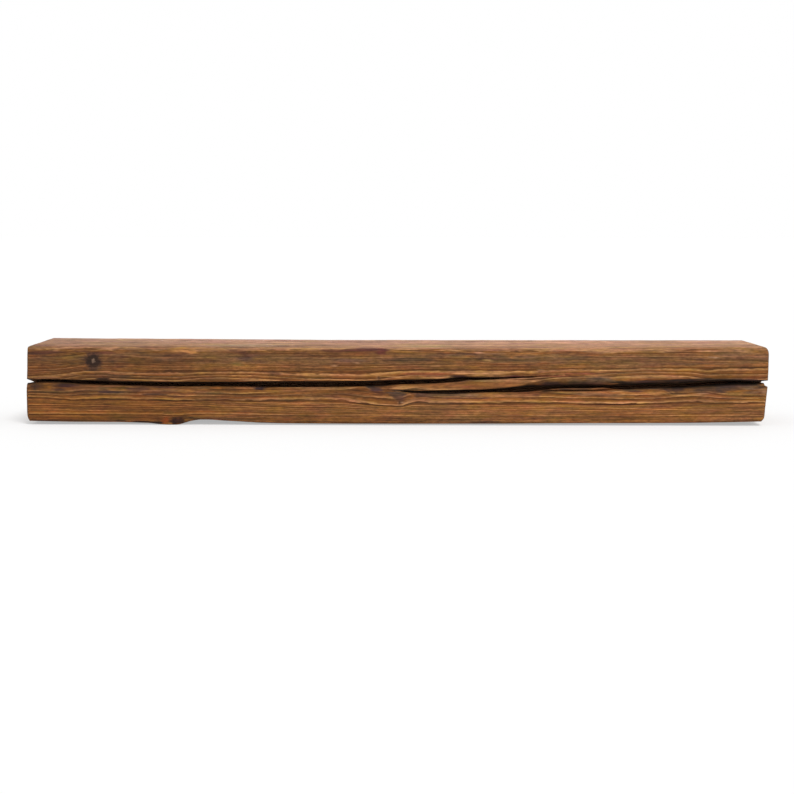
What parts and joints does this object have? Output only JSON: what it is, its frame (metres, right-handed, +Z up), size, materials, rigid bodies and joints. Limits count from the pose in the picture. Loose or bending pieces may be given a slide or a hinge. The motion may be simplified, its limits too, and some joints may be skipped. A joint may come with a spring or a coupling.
{
  "type": "reclaimed wood shelf",
  "caption": "reclaimed wood shelf: a length of old weathered beam with worn arrises, long drying checks along its front edge and blind rod holes in its wall face",
  "frame": {"origin": "middle of the plane that the shelf rests on, at half its length and half its depth", "axes": "+X along the shelf, to the right seen from the front; +Y from the front to the wall face; +Z up"},
  "size_m": [1, 0.15, 0.1069],
  "materials": {
    "weathered_wood": "matte"
  },
  "bodies": {
    "root": {"shelf_beam": "weathered_wood"}
  },
  "joints": []
}
